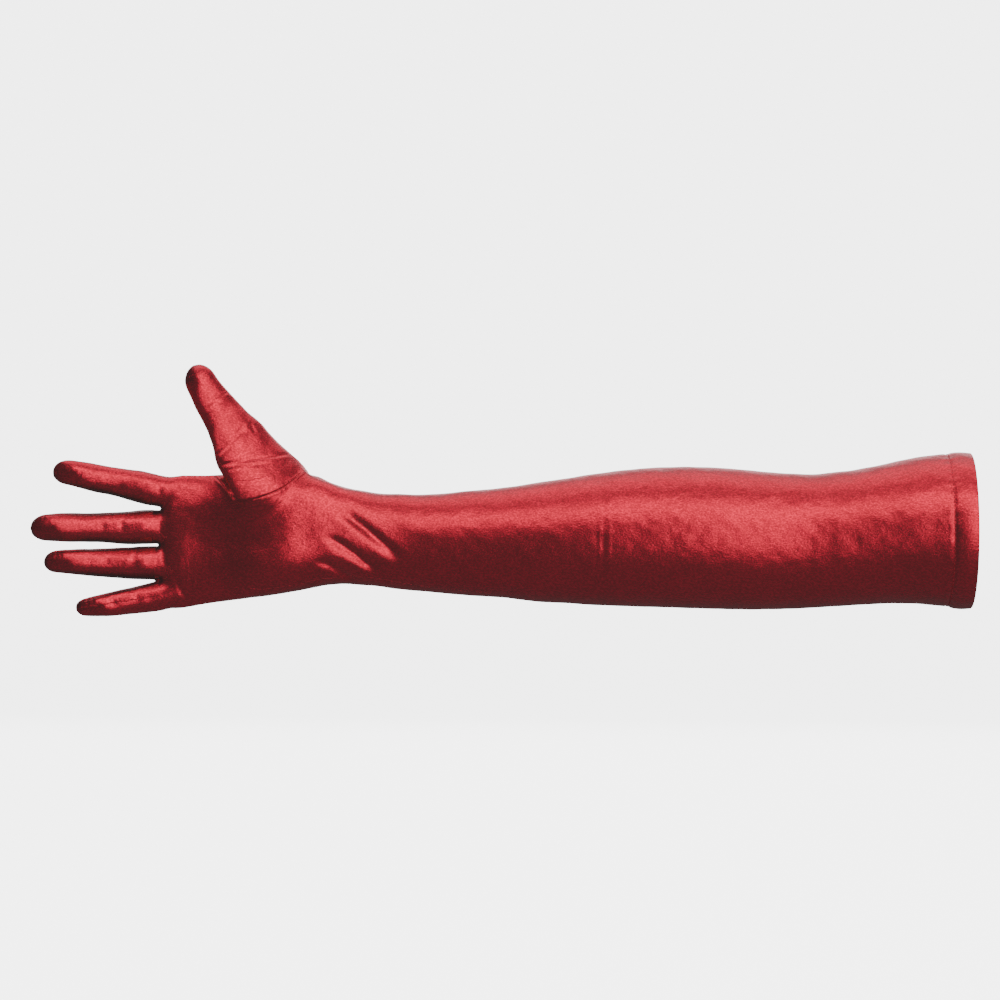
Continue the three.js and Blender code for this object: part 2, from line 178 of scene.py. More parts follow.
def grid_faces(rows, columns, closed):
    across = columns if closed else columns - 1
    return [
        (
            r * columns + c,
            r * columns + (c + 1) % columns,
            (r + 1) * columns + (c + 1) % columns,
            (r + 1) * columns + c,
        )
        for r in range(rows - 1)
        for c in range(across)
    ]


floor_z, wall_radius, bend_radius = -0.42, 9.0, 2.0
bend = np.linspace(0, math.pi / 2, 17)
sweep = [(r, floor_z) for r in (0.01, 1.0, 3.0, 5.0)]
sweep += [
    (wall_radius - bend_radius * (1 - math.sin(a)), floor_z + bend_radius * (1 - math.cos(a)))
    for a in bend
]
sweep += [(wall_radius, 6.0)]
turns = np.linspace(0, 2 * math.pi, 96, endpoint=False)
floor = add_mesh(
    "floor",
    [(-0.28 + r * math.cos(a), r * math.sin(a), z) for r, z in sweep for a in turns],
    grid_faces(len(sweep), len(turns), True),
)
floor_paint = bpy.data.materials.new("floor")
floor_paint.use_nodes = True
paint = floor_paint.node_tree.nodes["Principled BSDF"]
paint.inputs["Base Color"].default_value = (0.86, 0.86, 0.86, 1)
paint.inputs["Roughness"].default_value = 0.9
paint.inputs["Emission Color"].default_value = (1, 1, 1, 1)
paint.inputs["Emission Strength"].default_value = 4.5
floor.data.materials.append(floor_paint)
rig.stage(floor)


def soft_light(name, location, aim, size, power, tint=(1, 1, 1)):
    lamp = bpy.data.lights.new(name, "AREA")
    lamp.shape = "RECTANGLE"
    lamp.size, lamp.size_y = size
    lamp.energy = power
    lamp.color = tint
    obj = bpy.data.objects.new(name, lamp)
    obj.location = location
    obj.rotation_euler = (Vector(aim) - Vector(location)).to_track_quat("-Z", "Y").to_euler()
    bpy.context.scene.collection.objects.link(obj)
    return obj


glove_middle = (-0.28, 0, 0)
soft_light("light_right", (2.50, -4.40, 0.65), glove_middle, (5.4, 5.2), 178)
soft_light("light_front_above", (-0.28, -2.40, 2.60), glove_middle, (5.0, 2.0), 72)
soft_light("light_top", (-0.28, 0.90, 3.20), glove_middle, (5.0, 3.2), 72)
soft_light("light_behind", (0.30, 4.60, 1.50), glove_middle, (5.0, 3.0), 75)
soft_light("light_opening", (4.20, 1.60, 1.00), (0, 0, 0), (3.4, 3.0), 90)
# The studio is seen but sends no light to the satin, and casts no shadow.
floor.visible_glossy = False
floor.visible_diffuse = False
floor.visible_shadow = False
world = bpy.data.worlds.new("studio")
world.use_nodes = True
sky = world.node_tree
upward = sky.nodes.new("ShaderNodeSeparateXYZ")
sky.links.new(sky.nodes.new("ShaderNodeTexCoord").outputs["Generated"], upward.inputs[0])
shade = sky.nodes.new("ShaderNodeMapRange")
for socket, value in {"From Min": -0.95, "From Max": 0.05, "To Min": 0.13, "To Max": 0.035}.items():
    shade.inputs[socket].default_value = value
sky.nodes["Background"].inputs["Color"].default_value = (1, 1, 1, 1)
sky.links.new(upward.outputs["Z"], shade.inputs["Value"])
sky.links.new(shade.outputs["Result"], sky.nodes["Background"].inputs["Strength"])
bpy.context.scene.world = world

# ---------------------------------------------------------------- the gloved arm's shape
# Stretch satin takes the shape of the arm inside it. Arm, fingers and thumb are lofted along their own axes,
# joined into one skin, and every piece of cloth below is cut from that skin. Sizes are in millimetres here
# and become metres where the skin is made.
MM = 0.001
wrist_x, fork_x = -363.0, -482.0
palm_length = 119.0
knuckle_lean = 7.5
ring_step = 1.2


def through(at, values, x):
    """A smooth curve through stations, as rows of numbers, at the distances x."""
    at, values, x = np.asarray(at, float), np.asarray(values, float), np.asarray(x, float)
    slope = np.gradient(values, at, axis=0)
    i = np.clip(np.searchsorted(at, x) - 1, 0, len(at) - 2)
    h = (at[i + 1] - at[i])[:, None]
    t = ((x - at[i])[:, None] / h).clip(0, 1)
    ease = t * t * (3 - 2 * t)
    start = values[i] + slope[i] * h * t
    end = values[i + 1] - slope[i + 1] * h * (1 - t)
    return start * (1 - ease) + end * ease


def loft(name, origin, along, across, stations, round_start, round_end, sides=96, flat=1.0, roll=0.0):
    """A closed tube through stations, with rounded ends.

    A station is distance, shift across, lean towards +Y, half width and half depth.
    """
    stations = np.array(stations, float)
    first, last = stations[0, 0], stations[-1, 0]
    rings = np.linspace(first, last, int((last - first) / ring_step) + 1)
    rows = through(stations[:, 0], stations[:, 1:], rings)
    shrink = np.ones(len(rings))
    if round_start:
        shrink *= np.sqrt(np.clip(1 - ((first + round_start - rings).clip(0) / round_start) ** 2, 0, 1))
    if round_end:
        shrink *= np.sqrt(np.clip(1 - ((rings - last + round_end).clip(0) / round_end) ** 2, 0, 1))
    angle = np.linspace(0, 2 * math.pi, sides, endpoint=False)
    shrink = np.maximum(shrink, 0.02)
    lean = np.array([0, 1, 0])
    wide = across * math.cos(math.radians(roll)) - lean * math.sin(math.radians(roll))
    deep = lean * math.cos(math.radians(roll)) + across * math.sin(math.radians(roll))
    cosine = np.sign(np.cos(angle)) * np.abs(np.cos(angle)) ** flat
    sine = np.sign(np.sin(angle)) * np.abs(np.sin(angle)) ** flat
    points = (
        origin
        + rings[:, None, None] * along
        + (rows[:, 0, None, None] * across + rows[:, 1, None, None] * lean)
        + (cosine * (rows[:, 2] * shrink)[:, None])[..., None] * wide
        + (sine * (rows[:, 3] * shrink)[:, None])[..., None] * deep
    ).reshape(-1, 3)
    faces = grid_faces(len(rings), sides, True)
    faces += [tuple(range(sides))[::-1], tuple((len(rings) - 1) * sides + i for i in range(sides))]
    return add_mesh(name, points * MM, faces)


arm_stations = [  # distance from the hem, centre's height, lean, half height, half depth
    (-14, 0.3, 0, 47.6, 44.6), (0, -0.3, 0, 46.5, 43.6), (20, 0.1, 0, 45.0, 41.6),
    (40, -0.9, 0, 42.4, 39.4), (60, -3.3, 0, 40.6, 37.2), (80, -5.3, 0, 39.7, 35.6),
    (105, -6.5, 0, 39.9, 34.6), (120, -6.2, 0, 40.6, 35.2), (140, -5.3, 0, 41.5, 36.4),
    (160, -4.5, 0, 41.8, 37.0), (180, -4.2, 0, 41.5, 36.8), (200, -4.5, 0, 40.6, 36.0),
    (220, -5.3, 0, 39.1, 34.6), (240, -6.2, 0, 37.0, 32.4), (260, -7.1, 0.1, 34.9, 29.8),
    (280, -7.4, 0.4, 32.3, 27.2), (300, -7.7, 0.9, 30.8, 25.0), (320, -7.7, 1.6, 29.0, 23.2),
    (340, -6.8, 2.2, 28.1, 21.0), (363, -4.5, 2.5, 27.9, 19.4), (381, -2.2, 2.5, 30.0, 18.3),
    (392, -1.1, 2.6, 32.9, 17.7), (411, -3.2, 3.2, 34.4, 17.0), (435, -4.0, 4.4, 36.9, 14.8),
    (458, -5.8, 5.9, 38.3, 12.0), (476, -7.0, 7.0, 39.8, 10.3), (484.5, -7.2, 7.6, 40.0, 9.7),
]
fingers = {  # origin's x, height, tilt above -X, length, then (share, shift, half width) along it
    "index": (
        -486.5, 24.1, 10.3, 61.6,
        [(0.02, 0.0, 9.3), (0.11, 0.1, 9.3), (0.26, 0.4, 8.7), (0.42, 0.6, 8.0), (0.57, 0.6, 7.9),
         (0.73, 1.1, 7.5), (0.88, 1.0, 6.9), (1.0, 0.6, 6.2)],
    ),
    "middle": (
        -486.5, 1.8, -0.6, 73.6,
        [(0.02, 0.3, 9.7), (0.26, -0.2, 9.3), (0.38, 0.1, 8.7), (0.54, 0.2, 8.3), (0.71, 0.5, 8.2),
         (0.85, 0.6, 7.7), (1.0, 0.2, 6.6)],
    ),
    "ring": (
        -485.5, -19.7, 0.5, 66.8,
        [(0.02, 0.2, 9.6), (0.25, -0.1, 9.1), (0.4, 0.0, 8.5), (0.58, 0.2, 7.8), (0.75, 0.5, 7.1),
         (0.9, 0.6, 6.2), (1.0, 0.3, 5.4)],
    ),
    "little": (
        -482.0, -38.7, -8.9, 52.2,
        [(0.02, -0.2, 8.5), (0.25, -0.5, 7.9), (0.42, -0.5, 7.4), (0.57, -0.6, 6.9), (0.73, -0.4, 6.1),
         (0.87, -0.2, 5.1), (1.0, 0.0, 4.2)],
    ),
}
thumb_origin = np.array([-435.0, 0.0, 49.6])
thumb_along = np.array([-0.5, 0.0, math.sqrt(0.75)])
thumb_across = np.array([math.sqrt(0.75), 0.0, 0.5])
thumb_stations = [  # distance, shift, lean, half width, half depth
    (-48, 9.5, 1.0, 17.0, 6.0), (-40, 8.6, 0.4, 19.4, 9.0), (-30, 6.0, -0.6, 20.8, 11.8),
    (-18, 3.4, -1.6, 20.2, 13.0), (-8, 1.4, -2.2, 18.8, 12.8), (0, 0.8, -2.4, 17.6, 12.2),
    (8, 1.3, -2.4, 15.3, 11.4), (14.3, 0.7, -2.3, 13.3, 10.8), (20.5, 0.3, -2.0, 11.9, 10.3),
    (27, -0.3, -1.8, 10.9, 9.8), (33, -0.9, -1.8, 10.1, 9.4), (40, -1.2, -2.0, 9.1, 8.8),
    (46, -1.2, -2.3, 8.6, 8.1), (52, -1.0, -2.6, 8.0, 7.4), (56.4, -0.8, -2.8, 7.4, 6.8),
]
longest_finger = 73.2
finger_aims = {}
tubes = [
    loft("arm", np.zeros(3), np.array([-1.0, 0, 0]), np.array([0, 0, 1.0]), arm_stations, 0, 9, sides=160),
    loft("thumb", thumb_origin, thumb_along, thumb_across, thumb_stations, 16, 9.5, flat=0.72, roll=-29),
]
for name, (x, z, tilt, length, girth) in fingers.items():
    tilt = math.radians(tilt)
    origin = np.array([x, knuckle_lean, z])
    along = np.array([-math.cos(tilt), 0, math.sin(tilt)])
    across = np.array([math.sin(tilt), 0, math.cos(tilt)])
    reach = -15 * min(length, longest_finger) / longest_finger
    lean_at = lambda share, reach=reach: reach * (0.45 * share + 0.55 * share * share)
    wide = girth[0][2]
    stations = [
        (-22, 0.0, 0.8, wide - 2.0, 4.5),
        (-14, 0.0, 0.6, wide - 0.6, 7.4),
        (-7, 0.0, 0.2, wide - 0.2, 8.3),
    ]
    for s, shift, half in girth:
        tip = max(0, (s - 0.74) / 0.26) ** 1.5
        deep = half * (0.9 + 0.11 * max(0, 1 - s / 0.3) - 0.2 * tip)
        stations.append((s * length, shift, lean_at(s) + 1.5 * tip, half, deep))
    finger_aims[name] = (origin, along, across, length, lean_at)
    tubes.append(loft("finger", origin, along, across, stations, 6, girth[-1][2] * 1.25, sides=64))

bpy.ops.object.select_all(action="DESELECT")
for tube in tubes:
    tube.select_set(True)
bpy.context.view_layer.objects.active = tubes[0]
bpy.ops.object.join()
form = tubes[0]
remesh = form.modifiers.new("skin", "REMESH")
remesh.mode = "VOXEL"
remesh.voxel_size = 0.0009
remesh.use_smooth_shade = True
soften = form.modifiers.new("soften", "SMOOTH")
soften.factor = 0.5
soften.iterations = 7
skin = bpy.data.meshes.new_from_object(form.evaluated_get(bpy.context.evaluated_depsgraph_get()))
bpy.data.objects.remove(form)
whole = bmesh.new()
whole.from_mesh(skin)
everything = whole.verts[:] + whole.edges[:] + whole.faces[:]
bmesh.ops.bisect_plane(
    whole, geom=everything, dist=1e-6, plane_co=(0, 0, 0), plane_no=(1, 0, 0), clear_outer=True
)
whole.to_mesh(skin)
whole.free()


def vertices_of(mesh):
    flat = np.zeros(len(mesh.vertices) * 3)
    mesh.vertices.foreach_get("co", flat)
    return flat.reshape(-1, 3) / MM


def normals_of(mesh):
    flat = np.zeros(len(mesh.vertices) * 3)
    mesh.vertex_normals.foreach_get("vector", flat)
    return flat.reshape(-1, 3)


def set_vertices(mesh, points):
    mesh.vertices.foreach_set("co", (points * MM).ravel())
    mesh.update()


def bump(distance, width):
    return np.exp(-((distance / width) ** 2))


def fade(value, low, high):
    t = np.clip((value - low) / (high - low), 0, 1)
    return t * t * (3 - 2 * t)


def to_line(p, a, b):
    """Distance of each point's (x, z) from the line a-b, and its share of the way along it."""
    a, b = np.array(a, float), np.array(b, float)
    d = b - a
    q = p[:, [0, 2]] - a
    share = (q @ d) / (d @ d)
    off = (q[:, 0] * d[1] - q[:, 1] * d[0]) / np.linalg.norm(d)
    return off, share


def mound(p, centre, radii, turn=0.0):
    """A rounded hill over the (x, z) plane, 1 at its centre."""
    c, s = math.cos(math.radians(turn)), math.sin(math.radians(turn))
    dx, dz = p[:, 0] - centre[0], p[:, 2] - centre[1]
    u, v = dx * c + dz * s, (-dx * s + dz * c) / radii[1]
    u = np.where(u < 0, u / radii[0], u / radii[-1] if len(radii) > 2 else u / radii[0])
    return np.exp(-(u * u + v * v))


def ease_out(mesh, points, share, rounds):
    """Rounds off the skin where share is 1, by moving each vertex towards the middle of its neighbours."""
    ends = np.zeros(len(mesh.edges) * 2, dtype=np.int64)
    mesh.edges.foreach_get("vertices", ends)
    a, b = ends.reshape(-1, 2).T
    degree = np.bincount(np.concatenate([a, b]), minlength=len(points)).clip(1)
    for i in range(rounds):
        total = [
            np.bincount(a, points[b, k], len(points)) + np.bincount(b, points[a, k], len(points))
            for k in range(3)
        ]
        points = points + share[:, None] * 0.6 * (np.stack(total, axis=1) / degree[:, None] - points)
    return points


outer, pull, inner = np.array([-393.5, 37.8]), np.array([-427.8, 9.1]), np.array([-449.2, 30.0])
inner_end, outer_end = np.array([-494.4, 84.6]), np.array([-426.9, 123.6])
t = np.linspace(0, 1, 41)[:, None]
curve = (1 - t) ** 2 * outer + 2 * t * (1 - t) * pull + t * t * inner
outline = np.concatenate([curve, [inner_end, outer_end]])

p = vertices_of(skin)
n = normals_of(skin)
flat_side = fade(np.abs(n[:, 1]), 0.35, 0.7)
to_curve = np.min([np.hypot(p[:, 0] - x, p[:, 2] - z) for x, z in curve[::2]], axis=0)
crotch = np.hypot(p[:, 0] + 454, p[:, 2] - 38) < 6
share = fade(-to_curve, -22, -9) * (~crotch) * fade(np.abs(n[:, 1]), 0.15, 0.5)
p = ease_out(skin, p, share, 80)
upper_side = fade(n[:, 2], 0.1, 0.5) * fade(p[:, 2], 22, 26)
share = np.maximum(flat_side, upper_side) * fade(-np.abs(p[:, 0] + 482), -12, -6)
p = ease_out(skin, p, share, 40)
set_vertices(skin, p)
n = normals_of(skin)
front = fade(-n[:, 1], 0.1, 0.8)
back = fade(n[:, 1], 0.1, 0.8)
finger_share = np.zeros(len(p))
finger_shift = np.full(len(p), 99.0)
finger_of = np.full(len(p), -1)
for k, (name, (origin, along, across, length, lean_at)) in enumerate(finger_aims.items()):
    s = (p - origin) @ along
    c = (p - origin) @ across
    mine = (s > 1) & (np.abs(c) < 11.5) & (np.abs(c) < np.abs(finger_shift))
    finger_of[mine], finger_share[mine], finger_shift[mine] = k, s[mine] / length, c[mine]

valley_heights = [-46, -40, -25, -20, 0, 40]
valley_x = np.interp(p[:, 2], valley_heights, [-466, -468.5, -476, -480.5, -483.5, -484])

# Muscle and bone under the cloth: the ball of the thumb, the heel of the hand, the hollow of the palm,
# the knuckles.
offset = 0.45 * fade(-p[:, 0], 16, 40) - 0.15 * fade(-p[:, 0], 400, 430) + 0.15 * (finger_of >= 0)
offset += front * 7.8 * mound(p, (-424, 17), (24, 19, 46), 8)
offset += front * 5.4 * mound(p, (-422, -20), (22, 15, 46), 4)
offset -= front * 3.0 * mound(p, (-446, -6), (24, 17), 0)
thumb_c, thumb_s = (p - thumb_origin) @ thumb_across, (p - thumb_origin) @ thumb_along
offset += front * 0.6 * mound(p, (-470, -6), (7, 30), -6)
for name, (origin, along, across, length, lean_at) in finger_aims.items():
    offset += back * 2.0 * mound(p, (origin[0] + 6, origin[2]), (9, 7))
    offset += back * 0.5 * mound(p, (origin[0] + 34, origin[2] * 0.8 - 1), (26, 3.2), -3)
    hand_end = origin + along * length * 0.39
    offset += back * 0.7 * mound(p, (hand_end[0], hand_end[2]), (5, 7))

# The valley where each finger lifts out of the palm.
offset -= front * 0.35 * bump(p[:, 0] - valley_x, 1.6) * fade(p[:, 2], -50, -44)

# Folds that the wrist pushes up.
for a, b, depth, width in [
    ((-376.5, 12.0), (-338, -16.0), 2.0, 3.0),
    ((-384.5, -3.0), (-351.5, -24.0), 2.0, 2.6),
    ((-390, -16.5), (-366.5, -28.0), 1.3, 2.0),
    ((-371, -11.5), (-359, -20.5), 0.4, 1.0),
]:
    off, share = to_line(p, a, b)
    length = fade(share, -0.06, 0.3) * fade(-share, -1.06, -0.75)
    offset -= front * depth * bump(off + 0.8 * np.sin(share * 5), width) * length
    offset += front * 0.22 * depth * bump(off - 2.0 * width, width * 1.4) * length

# Creases over the ball of the thumb and at its joint, and small puckers along the fingers.
for a, b, depth, width in [
    ((-449.7, 38.6), (-404.0, 45.2), 0.55, 0.9),
    ((-448.5, 44.3), (-431.0, 60.5), 0.5, 1.0),
    ((-440.5, 36.6), (-420.0, 38.8), 0.3, 0.9),
    ((-456.5, 75.5), (-441.0, 83.5), 0.4, 1.1),
    ((-455.0, 72.5), (-446.5, 77.0), 0.4, 1.0),
    ((-438.0, 55.0), (-432.0, 63.5), 0.35, 1.0),
    ((-425.5, 57.5), (-429.5, 63.5), 0.3, 1.0),
]:
    off, share = to_line(p, a, b)
    length = fade(share, -0.05, 0.2) * fade(-share, -1.05, -0.8)
    offset -= front * depth * bump(off, width) * length
    offset += front * 0.4 * depth * bump(off - 2 * width, width) * length
offset -= front * 1.3 * mound(p, (-444.5, 66), (4.2, 12), -28)
for x, z, radii, depth in [
    (-506.0, 3.9, (1.6, 2.8), 0.8),
    (-499.0, -16.3, (1.8, 2.8), 0.8),
    (-517.0, 2.6, (2.4, 2.0), 0.3),
    (-507.0, 24.5, (2.2, 3.0), 0.6),
    (-522.0, 31.0, (3.2, 2.2), 0.35),
    (-515.0, -18.0, (2.6, 2.0), 0.3),
    (-497.0, -40.0, (2.2, 2.4), 0.5),
    (-511.0, -43.0, (2.4, 2.2), 0.5),
    (-493.0, 27.0, (3.0, 2.2), 0.35),
    (-531.0, 33.0, (2.0, 2.0), 0.3),
]:
    offset -= front * depth * mound(p, (x, z), radii, 0)

# The faint fold left across the sleeve by its packing, and the slack at the crook and the point of the elbow.
for x, depth in [(-219.5, 0.22), (-223.5, 0.12), (-216.0, -0.16)]:
    offset -= front * depth * bump(p[:, 0] - x - 0.01 * p[:, 2], 1.1) * fade(-np.abs(p[:, 2] + 2), -38, -20)
for a, b, depth, width in [
    ((-92, 22), (-128, 14), 0.45, 3.0),
    ((-84, 2), (-122, -6), 0.4, 3.4),
    ((-96, -20), (-130, -24), 0.35, 3.0),
]:
    off, share = to_line(p, a, b)
    length = fade(share, -0.3, 0.4) * fade(-share, -1.3, -0.6)
    offset -= (0.35 * front + back) * depth * bump(off, width) * length
for a, b, depth, width in [
    ((-356, 16), (-372, 4), 0.8, 2.2),
    ((-352, -2), (-374, -12), 0.9, 2.4),
    ((-360, -20), (-378, -27), 0.6, 2.0),
]:
    off, share = to_line(p, a, b)
    offset -= back * depth * bump(off, width) * fade(share, -0.3, 0.35) * fade(-share, -1.3, -0.65)

# The folded edge stands up in a soft roll between the line of stitching and the opening.
hem_width = 13.5
roll = np.clip(-p[:, 0] / hem_width, 0, 1)
offset += 0.75 * np.sin(math.pi * roll) ** 0.8 * (p[:, 0] > -hem_width)
offset -= 0.55 * bump(p[:, 0] + hem_width, 1.3)
around = np.arctan2(p[:, 2], p[:, 1])
offset += 0.10 * np.sin(around * 31 + 2 * np.sin(around * 3)) * bump(p[:, 0] + hem_width, 5)

# A little unevenness everywhere, as thin cloth has.
uneven = (
    np.sin(p[:, 0] * 0.21 + 1.3 * np.sin(p[:, 2] * 0.17)) * np.sin(p[:, 2] * 0.26 + p[:, 1] * 0.2)
    + 0.6 * np.sin(p[:, 0] * 0.47 + p[:, 1] * 0.4) * np.sin(p[:, 2] * 0.53 + 1.1)
)
offset += 0.07 * uneven
set_vertices(skin, p + n * offset[:, None])

# From here on: the shaped skin, its normals, and a tree that finds where a ray meets it.
shape = vertices_of(skin)
shape_normals = normals_of(skin)
skin_faces = [tuple(f.vertices) for f in skin.polygons]
skin_tree = BVHTree.FromPolygons([Vector(v * MM) for v in shape], skin_faces)
rest = p  # each point before it was shaped, which the seams are measured from

# Satin throws light to one side of its threads. Leaning the shading normals stands in for that, and moves no
# cloth: the thumb catches light evenly, the closed fingertips turn it away, and the heel of the hand and the
# wrist catch it again. The lean goes with the cloth as it bends.
sheen = shape_normals.copy()
for name, (origin, along, across, length, lean_at) in finger_aims.items():
    s, c = (rest - origin) @ along, (rest - origin) @ across
    near_tip = fade(s - length + 11 + 0.7 * (7 - c), -2.5, 2.5) * (finger_of == list(finger_aims).index(name))
    sheen[:, 0] -= 0.42 * near_tip * front
heel_sheen = 0.11 * mound(rest, (-403, -3), (8, 20), 8)
wrist_sheen = 0.15 * mound(rest, (-362, -1), (26, 22), 0)
sheen[:, 0] += front * (finger_of < 0) * (heel_sheen + wrist_sheen)
sheen /= np.linalg.norm(sheen, axis=1)[:, None]
thumb_sheen = shape_normals.copy()
facing_low, facing_high = fade(-thumb_sheen[:, 1], -0.15, 0.1), fade(-thumb_sheen[:, 1], 0.0, 0.4)
facing_front = np.where(thumb_s < 6, facing_low, facing_high)
facing_front *= 1 - fade(thumb_s + 0.5 * thumb_c, 42, 48)
lifted = 0.2 - (0.2 - thumb_sheen[:, 0]) * 0.15
thumb_sheen[:, 0] += np.where(thumb_sheen[:, 0] < 0.2, lifted - thumb_sheen[:, 0], 0) * facing_front
thumb_sheen[:, 0] -= 0.35 * fade(thumb_s - 1.2 * thumb_c, 45, 52) * front
thumb_sheen /= np.linalg.norm(thumb_sheen, axis=1)[:, None]


def surface_along(start, direction):
    """Where a ray in millimetres meets the skin, with the outward normal there."""
    hit, normal, index, far = skin_tree.ray_cast(Vector(start) * MM, Vector(direction))
    return (np.array(hit) / MM, np.array(normal)) if hit is not None else (None, None)


# ---------------------------------------------------------------- where the seams run
# The thumb is a piece of its own, set in with a curved seam across the palm. One seam runs down the little
# finger's side, and a strip is let in between each pair of fingers.


def signed_from_outline(points, line):
    """Distance in the (x, z) plane from a closed outline, negative inside, and the run along it."""
    q = points[:, [0, 2]]
    best, run, inside = np.full(len(q), 1e9), np.zeros(len(q)), np.zeros(len(q), bool)
    done = 0.0
    for a, b in zip(line, np.roll(line, -1, axis=0)):
        d = b - a
        length = np.linalg.norm(d)
        share = np.clip(((q - a) @ d) / (length * length), 0, 1)
        away = np.linalg.norm(q - a - share[:, None] * d, axis=1)
        nearer = away < best
        best[nearer], run[nearer] = away[nearer], done + share[nearer] * length
        meets = (b[0] - a[0]) * (q[:, 1] - a[1]) / (b[1] - a[1] + 1e-12) + a[0]
        crosses = ((a[1] > q[:, 1]) != (b[1] > q[:, 1])) & (q[:, 0] < meets)
        inside ^= crosses
        done += length
    return np.where(inside, -best, best), run


thumb_off, thumb_run = signed_from_outline(rest, outline)
seam_off = np.where(np.abs(thumb_off) < 9, thumb_off, 9.0)
seam_run = thumb_run.copy()
side = (shape_normals[:, 2] < -0.2) & (finger_of < 0)
side_off = rest[:, 1] - np.where(rest[:, 0] > wrist_x, 0, (wrist_x - rest[:, 0]) / palm_length * knuckle_lean)
take = side & (np.abs(side_off) < np.abs(seam_off)) & (rest[:, 0] < -hem_width)
seam_off[take], seam_run[take] = side_off[take], rest[take, 0]
level_of = {}
for k, (name, (origin, along, across, length, lean_at)) in enumerate(finger_aims.items()):
    mine = finger_of == k
    tip = np.clip((finger_share - 0.74) / 0.26, 0, 1) ** 1.5
    level = rest[:, 1] - origin[1] - lean_at(np.clip(finger_share, 0, 1)) - 1.5 * tip
    strip = 3.2 - 1.6 * tip
    level_of[k] = level
    lower = mine & (finger_shift < 0)
    upper = mine & (finger_shift > 0)
    if name == "little":
        seam_off[lower], seam_run[lower] = level[lower], finger_share[lower] * length
    else:
        seam_off[lower], seam_run[lower] = (np.abs(level) - strip)[lower], finger_share[lower] * length
    if name != "index":
        seam_off[upper], seam_run[upper] = (np.abs(level) - strip)[upper], finger_share[upper] * length
seam_off = np.clip(seam_off, -9, 9)

# Open fingers shade each other, so the cloth between them is nearly black. The mark "between" darkens its
# colour to stand in for that shade, and it stays dark as the fingers bend.
between = np.zeros(len(rest))
for k, (name, (origin, along, across, length, lean_at)) in enumerate(finger_aims.items()):
    has_neighbour = (finger_shift < 0) & (name != "little") | (finger_shift > 0) & (name != "index")
    mine = (finger_of == k) & has_neighbour
    under = finger_shift < 0
    inward = fade(np.abs(shape_normals[:, 2]), np.where(under, 0.45, 0.55), np.where(under, 0.8, 0.95))
    inward *= fade(-np.abs(level_of[k]), np.where(under, -10, -6.5), np.where(under, -7, -2.5))
    between[mine] = (inward * fade(-finger_share, -0.95, -0.5))[mine]
fork = (finger_of < 0) & (rest[:, 2] > -36) & (rest[:, 2] < 20)
fork_inside = fork * fade(-rest[:, 0], 478, 484) * fade(-np.abs(shape_normals[:, 1]), -0.9, -0.6)
between = np.maximum(between, fork_inside)

# ---------------------------------------------------------------- red stretch satin
# Slippery red satin with a fine knitted grain. It answers light along its threads, so lit folds are bright
# coral and the rest falls to deep maroon. The inside of the cloth is duller, with the same weave and seams.


def make_group(name, outputs):
    group = bpy.data.node_groups.new(name, "ShaderNodeTree")
    for socket, kind in outputs:
        group.interface.new_socket(socket, in_out="OUTPUT", socket_type=kind)
    return group, group.nodes.new("NodeGroupOutput")


def add_node(tree, kind, values=(), **settings):
    made = tree.nodes.new(kind)
    for key, value in settings.items():
        setattr(made, key, value)
    for socket, value in dict(values).items():
        if isinstance(value, bpy.types.NodeSocket):
            tree.links.new(value, made.inputs[socket])
        else:
            made.inputs[socket].default_value = value
    return made


def calculate(tree, operation, a, b=0.0, c=0.0):
    return add_node(tree, "ShaderNodeMath", {0: a, 1: b, 2: c}, operation=operation).outputs[0]


weave_outputs = [("Grain", "NodeSocketFloat"), ("Patches", "NodeSocketFloat"), ("Height", "NodeSocketFloat")]
weave, weave_out = make_group("satin_weave", weave_outputs)
where = add_node(weave, "ShaderNodeAttribute", attribute_name="rest").outputs["Vector"]
stretched = add_node(weave, "ShaderNodeMapping", {"Vector": where, "Scale": (0.75, 1.0, 1.15)}).outputs[0]
speckle_values = {"Vector": stretched, "Scale": 0.95, "Detail": 3.0, "Roughness": 0.62}
speckle = add_node(weave, "ShaderNodeTexNoise", speckle_values).outputs["Fac"]
knots = add_node(weave, "ShaderNodeTexVoronoi", {"Vector": stretched, "Scale": 1.25}).outputs["Distance"]
patch_values = {"Vector": where, "Scale": 0.045, "Detail": 2.0}
patches = add_node(weave, "ShaderNodeTexNoise", patch_values).outputs["Fac"]
rumple_values = {"Vector": where, "Scale": 0.11, "Detail": 1.5}
rumple = add_node(weave, "ShaderNodeTexNoise", rumple_values).outputs["Fac"]
grain = calculate(weave, "MULTIPLY_ADD", knots, -0.35, speckle)
height = calculate(weave, "MULTIPLY_ADD", grain, 0.15, calculate(weave, "MULTIPLY", rumple, 0.55))
weave.links.new(grain, weave_out.inputs["Grain"])
weave.links.new(patches, weave_out.inputs["Patches"])
weave.links.new(height, weave_out.inputs["Height"])

seam_outputs = [("Height", "NodeSocketFloat"), ("Line", "NodeSocketFloat")]
seams, seams_out = make_group("sewn_seams", seam_outputs)
off = add_node(seams, "ShaderNodeAttribute", attribute_name="seam_off").outputs["Fac"]
run = add_node(seams, "ShaderNodeAttribute", attribute_name="seam_run").outputs["Fac"]


def hill(tree, value, centre, width):
    near = calculate(tree, "DIVIDE", calculate(tree, "SUBTRACT", value, centre), width)
    squared = calculate(tree, "MULTIPLY", near, near)
    return calculate(tree, "EXPONENT", calculate(tree, "MULTIPLY", squared, -1.0))


